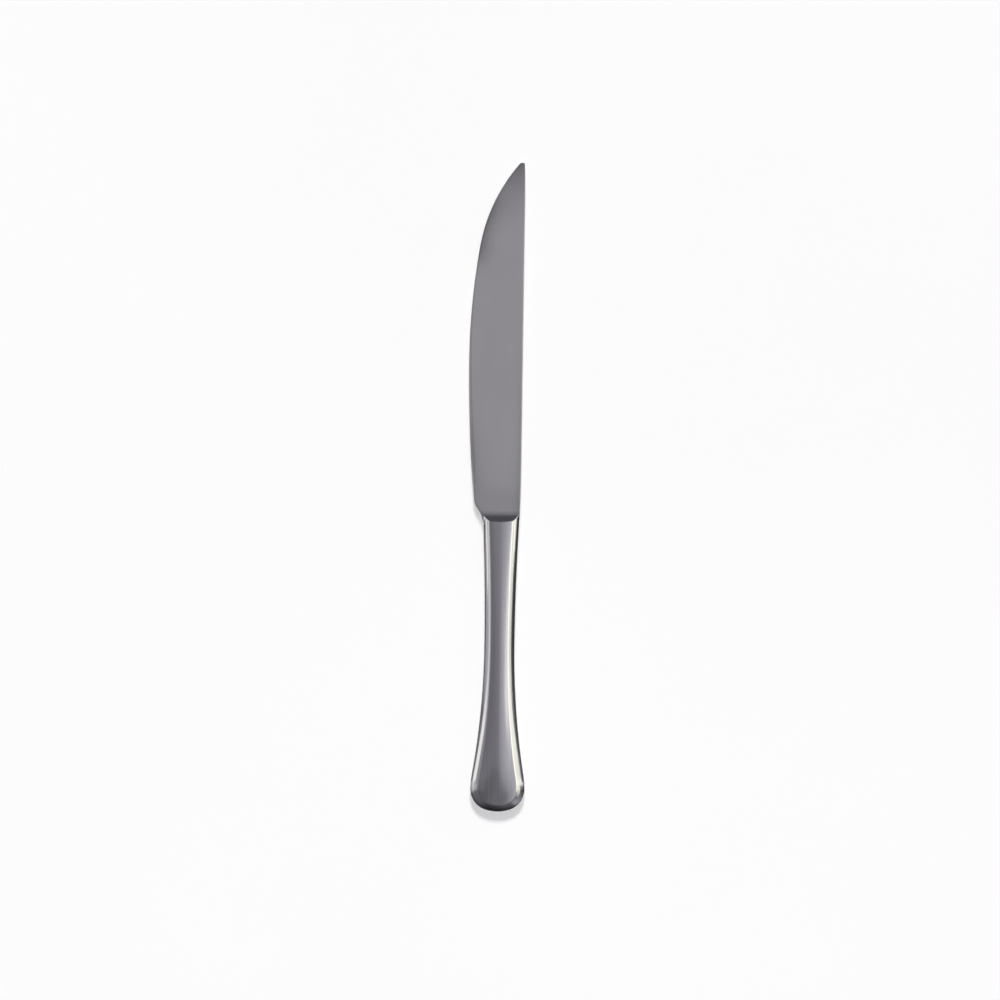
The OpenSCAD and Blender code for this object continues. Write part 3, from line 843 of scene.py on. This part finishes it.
# Patterns of noise: those of the steel are drawn out along the knife
GRAIN = {"stretch": (1.0, 0.02, 1.0), "scale": 7000.0, "detail": 2.0}
STREAKS = {"stretch": (1.0, 0.02, 1.0), "scale": 1500.0, "detail": 3.0}
BLOTCHES = {"stretch": (1.0, 0.6, 1.0), "scale": 90.0, "detail": 3.0}
SCRATCHES = {"stretch": (1.0, 0.012, 1.0), "scale": 2600.0, "detail": 4.0}
SOLDER_FLOW = {"stretch": (1.0, 1.0, 1.0), "scale": 900.0, "detail": 3.0}
CEMENT_GRIT = {"stretch": (1.0, 1.0, 1.0), "scale": 1200.0, "detail": 6.0}
FLOOR_MOTTLE = {"stretch": (1.0, 1.0, 1.0), "scale": 3.0, "detail": 3.0}

# How much streaks and wear lighten the steel, and the strength and depth of relief
STREAK_SHARE = 0.35
WEAR_SHARE = 0.5
SATIN_BUMP = 0.25
POLISH_BUMP = 0.06
STEEL_RELIEF = 0.02 * MM
CEMENT_BUMP = 0.5
CEMENT_RELIEF = 0.1 * MM


def steel_material(name):
    """Steel that is satin where it is ground and bright where it is polished, by the polish value, darkened
    by painted shade.
    """
    material, tree, shader = start_material(name)
    polish = attribute(tree, "polish")
    wear = attribute(tree, "wear")
    grain = noise(tree, **GRAIN)
    streaks = noise(tree, **STREAKS)
    blotches = noise(tree, **BLOTCHES)
    scratches = noise(tree, **SCRATCHES)
    satin = mixed_colour(tree, mapped(tree, blotches, 0.0, 1.0), SATIN_DARK, SATIN_LIGHT)
    satin = mixed_colour(tree, mapped(tree, streaks, 0.0, STREAK_SHARE), satin, SATIN_LIGHT)
    bright = mixed_colour(tree, mapped(tree, scratches, 0.0, 1.0), POLISH_DARK, POLISH_LIGHT)
    colour = mixed_colour(tree, polish, satin, bright)
    colour = mixed_colour(tree, combined(tree, "MULTIPLY", wear, WEAR_SHARE), colour, WORN_LIGHT)
    # Painted shade: the colour is darkened towards black by the painted shade value
    colour = mixed_colour(tree, attribute(tree, "shade"), colour, BLACK)
    tree.links.new(colour, shader.inputs["Base Color"])
    satin_rough = mapped(tree, grain, *SATIN_ROUGHNESS)
    bright_rough = mapped(tree, scratches, *POLISH_ROUGHNESS)
    tree.links.new(mixed(tree, polish, satin_rough, bright_rough), shader.inputs["Roughness"])
    height = mixed(tree, polish, grain, scratches)
    bumped(tree, shader, height, mixed(tree, polish, SATIN_BUMP, POLISH_BUMP), STEEL_RELIEF)
    shader.inputs["Metallic"].default_value = 1.0
    return material


def joint_material(name, dark, light, roughness):
    """Braze or solder, dressed flush with the steel and slightly warmer."""
    material, tree, shader = start_material(name)
    flow = noise(tree, **SOLDER_FLOW)
    colour = mixed_colour(tree, mapped(tree, flow, 0.0, 1.0), dark, light)
    tree.links.new(colour, shader.inputs["Base Color"])
    tree.links.new(mapped(tree, flow, *roughness), shader.inputs["Roughness"])
    shader.inputs["Metallic"].default_value = 1.0
    return material


def cement_material(name):
    material, tree, shader = start_material(name)
    grit = noise(tree, **CEMENT_GRIT)
    colour = mixed_colour(tree, mapped(tree, grit, 0.0, 1.0), CEMENT_DARK, CEMENT_LIGHT)
    tree.links.new(colour, shader.inputs["Base Color"])
    bumped(tree, shader, grit, CEMENT_BUMP, CEMENT_RELIEF)
    shader.inputs["Roughness"].default_value = CEMENT_ROUGHNESS
    return material


def dress(node, material):
    """Gives a node that keeps its own mesh its material."""
    for slot in bpy.data.objects[node].material_slots:
        slot.material = material


# Floor
FLOOR_RADIUS = 6.0
FLOOR_SIDES = 64
FLOOR_GLOW = 0.25


def whiten(tree, shader):
    """Mixes plain white into what the camera and the steel see of a surface, which keeps its shadow."""
    rays = add_node(tree, "ShaderNodeLightPath").outputs
    seen = rays["Is Camera Ray"]
    for kind in ("Is Glossy Ray", "Is Transmission Ray"):
        seen = combined(tree, "ADD", seen, rays[kind])
    share = mapped(tree, seen, 0.0, FLOOR_GLOW, 0.0, 1.0)
    white = add_node(tree, "ShaderNodeEmission", {"Color": WHITE, "Strength": 1.0})
    both = add_node(tree, "ShaderNodeMixShader", {0: share, 1: shader.outputs[0], 2: white.outputs[0]})
    tree.links.new(both.outputs[0], tree.nodes["Material Output"].inputs["Surface"])


def make_floor():
    material, tree, shader = start_material("pale_floor")
    mottle = mapped(tree, noise(tree, **FLOOR_MOTTLE), 0.0, 1.0)
    tree.links.new(mixed_colour(tree, mottle, FLOOR_DARK, FLOOR_LIGHT), shader.inputs["Base Color"])
    shader.inputs["Roughness"].default_value = 1.0
    shader.inputs["Specular IOR Level"].default_value = 0.0
    whiten(tree, shader)
    mesh = bpy.data.meshes.new("floor")
    work = bmesh.new()
    bmesh.ops.create_circle(work, cap_ends=True, segments=FLOOR_SIDES, radius=FLOOR_RADIUS)
    work.to_mesh(mesh)
    work.free()
    mesh.materials.append(material)
    floor = bpy.data.objects.new("floor", mesh)
    floor.location.z = box_low.z
    bpy.context.scene.collection.objects.link(floor)


# Camera: straight above, turned slightly, with the width of the view and the point that it looks at
VIEW_WIDTH = 362.32 * MM
VIEW_CENTRE = (0.724 * MM, -4.638 * MM)
VIEW_LEAN = math.radians(0.852)
CAMERA_HEIGHT = 2.5
SENSOR_MM = 36.0


def make_camera():
    data = bpy.data.cameras.new("camera")
    data.sensor_width = SENSOR_MM
    data.lens = SENSOR_MM * CAMERA_HEIGHT / VIEW_WIDTH
    camera = bpy.data.objects.new("camera", data)
    camera.location = (*VIEW_CENTRE, MID_Z + CAMERA_HEIGHT)
    camera.rotation_euler = (0.0, 0.0, VIEW_LEAN)
    bpy.context.scene.collection.objects.link(camera)
    bpy.context.scene.camera = camera


# Studio, by direction. Height is 0 at the horizon and 1 overhead. Places across and along the knife are
# 0.5 in the middle and grow towards the spine and the tip. Brightness by height, and its shares by place:
HEIGHT_STOPS = [(0.0, 0.025), (0.25, 0.06), (0.5, 0.18), (0.8, 0.25), (1.0, 0.4)]
ACROSS_STOPS = [
    (0.03, 2.4), (0.18, 1.4), (0.29, 0.95), (0.38, 0.62),
    (0.44, 0.76), (0.5, 0.85), (0.542, 1.1), (0.6, 1.45),
]
ALONG_STOPS = [(0.463, 0.5), (0.498, 1.0)]
STUDIO_TINT = (1.03, 1.0, 1.1, 1)

# How far the darker end behind the butt is left light, across the knife and along it
SPINE_STOPS = [(0.49, 0.0), (0.55, 0.95), (0.6, 1.0), (0.65, 1.0), (0.73, 0.0)]
NEAR_STOPS = [(0.36, 0.0), (0.43, 1.0)]

# Pale walls off the corners: where they begin and are full, their brightness from the corner by the edge
# and the butt to the one by the spine and the tip, and how they fade towards the horizon
WALL_REACH = (0.01, 0.16)
WALL_SPAN = 1.5
WALL_STOPS = [(0.38, 0.03), (0.5, 0.32), (0.65, 0.24), (0.85, 0.4)]
WALL_FOOT_STOPS = [(0.1, 0.0), (0.28, 1.0)]


def open_studio(tree, parts):
    """Light overhead and dark at the horizon, with a darker end behind the butt."""
    across, along = (mapped(tree, parts[axis], 0.0, 1.0, -1.0, 1.0) for axis in "XY")
    level = product(tree, ramp_node(tree, parts["Z"], HEIGHT_STOPS), ramp_node(tree, across, ACROSS_STOPS))
    lit = product(tree, ramp_node(tree, across, SPINE_STOPS), ramp_node(tree, along, NEAR_STOPS))
    dusk = mixed_colour(tree, lit, ramp_node(tree, along, ALONG_STOPS), WHITE)
    return product(tree, level, dusk)


def corner_walls(tree, parts):
    """Pale walls off the studio's corners, which the steel mirrors where it is seen from low down."""
    corner = combined(tree, "MULTIPLY", parts["X"], parts["Y"])
    corner = combined(tree, "MULTIPLY", corner, corner)
    walls = mapped(tree, corner, 0.0, 1.0, *WALL_REACH)
    side = mapped(tree, combined(tree, "ADD", parts["X"], parts["Y"]), 0.0, 1.0, -WALL_SPAN, WALL_SPAN)
    walls = product(tree, walls, ramp_node(tree, side, WALL_STOPS))
    return product(tree, walls, ramp_node(tree, parts["Z"], WALL_FOOT_STOPS))


def make_world():
    world = bpy.data.worlds.new("studio")
    world.use_nodes = True
    bpy.context.scene.world = world
    tree = world.node_tree
    direction = add_node(tree, "ShaderNodeTexCoord").outputs["Generated"]
    parts = add_node(tree, "ShaderNodeSeparateXYZ", {"Vector": direction}).outputs
    level = mixed_colour(tree, 1.0, open_studio(tree, parts), corner_walls(tree, parts), "ADD")
    tree.links.new(product(tree, level, STUDIO_TINT), tree.nodes["Background"].inputs["Color"])


# Softboxes: name, angles from overhead in degrees, stretch of y, radiance, colour and distance
LAMP_FAR = 1.2
LAMP_NEAR = 0.3
RIGHT_GLOW = (1.0, 0.985, 0.82)
LEFT_GLOW = (1.0, 0.985, 0.87)
COOL_GLOW = (0.98, 0.95, 1.0)
RIGHT_END = -0.22
RIGHT_SOFTBOXES = [
    ("right_softbox", (15, 70.5), (-0.098, -0.055), 1.3, RIGHT_GLOW, LAMP_FAR),
    ("right_mouth", (64, 74), (-0.036, -0.018), 0.8, RIGHT_GLOW, LAMP_NEAR),
    ("right_flare", (13.8, 64), (-0.055, 0.036), 1.15, RIGHT_GLOW, LAMP_FAR),
    ("right_butt", (13.8, 58), (RIGHT_END, -0.098), 1.0, RIGHT_GLOW, LAMP_FAR),
]
LEFT_SOFTBOXES = [
    ("left_mouth", (-73.5, -70), (-0.046, -0.018), 1.4, LEFT_GLOW, LAMP_NEAR),
    ("left_low", (-82, -60), (-0.1, -0.045), 0.43, COOL_GLOW, LAMP_FAR),
    ("left_end", (-82, -60), (-0.35, -0.1), 0.3, COOL_GLOW, LAMP_FAR),
    ("left_flare", (-66.5, -55), (-0.055, 0.2), 0.95, LEFT_GLOW, LAMP_FAR),
    ("left_butt", (-66, -50), (-0.24, -0.088), 0.24, LEFT_GLOW, LAMP_FAR),
]

# Softboxes that follow the right ones behind the butt, each dimmer than the one before
END_COUNT = 3
END_LIMITS = (40, 58)
END_LENGTH = 0.12
END_RADIANCE = 0.8
END_DIMMING = 0.28

# Suns for the floor: name, strength, elevation and softness in degrees
SUNS = [("fill", 0.8, 90, 6), ("key", 2.43, 40, 14)]


def add_softbox(name, limits, stretch, radiance, colour, distance):
    """A rectangular lamp beside the knife. Its limits are angles from overhead, positive towards the spine,
    and it reaches along the knife over the given stretch of y."""
    low, high = (math.radians(limit) for limit in limits)
    angle = (low + high) / 2
    width = 2 * distance * math.tan((high - low) / 2)
    length = stretch[1] - stretch[0]
    data = bpy.data.lights.new(name, "AREA")
    data.shape = "RECTANGLE"
    data.size, data.size_y = width, length
    data.energy = radiance * math.pi * width * length
    data.color = colour
    lamp = bpy.data.objects.new(name, data)
    side, up = distance * math.sin(angle), distance * math.cos(angle)
    lamp.location = (side, sum(stretch) / 2, MID_Z + up)
    lamp.rotation_euler = (0.0, angle, 0.0)
    lamp.visible_camera = False
    lamp.visible_diffuse = False
    bpy.context.scene.collection.objects.link(lamp)


def add_sun(name, strength, elevation, softness):
    """Light for the floor alone, from beyond the tip at the given elevation."""
    data = bpy.data.lights.new(name, "SUN")
    data.energy = strength
    data.angle = math.radians(softness)
    lamp = bpy.data.objects.new(name, data)
    lamp.rotation_euler = (math.radians(elevation - 90), 0.0, 0.0)
    lamp.visible_glossy = False
    bpy.context.scene.collection.objects.link(lamp)


def light_scene():
    make_world()
    for softbox in RIGHT_SOFTBOXES:
        add_softbox(*softbox)
    for step in range(END_COUNT):
        near = RIGHT_END - END_LENGTH * step
        stretch = (near - END_LENGTH, near)
        radiance = END_RADIANCE - END_DIMMING * step
        add_softbox("right_end_%d" % step, END_LIMITS, stretch, radiance, RIGHT_GLOW, LAMP_FAR)
    for softbox in LEFT_SOFTBOXES:
        add_softbox(*softbox)
    for sun in SUNS:
        add_sun(*sun)


make_camera()
make_floor()
light_scene()
# The blade's steel carries painted shade towards the tip, along the edge and the spine, and at the shoulder
make_blade(steel_material("blade_steel_with_painted_shade"))
handle_finish = steel_material("handle_steel_finish")
make_shell("front_shell_polished", "handle_front_shell", 1, handle_finish)
make_shell("back_shell_polished", "handle_back_shell", -1, handle_finish)
dress("seam_braze", joint_material("braze_finish", BRAZE_DARK, BRAZE_LIGHT, BRAZE_ROUGHNESS))
dress("mouth_solder", joint_material("solder_finish", SOLDER_DARK, SOLDER_LIGHT, SOLDER_ROUGHNESS))
dress("tang_cement", cement_material("cement_finish"))

bpy.context.scene.view_settings.view_transform = "Standard"
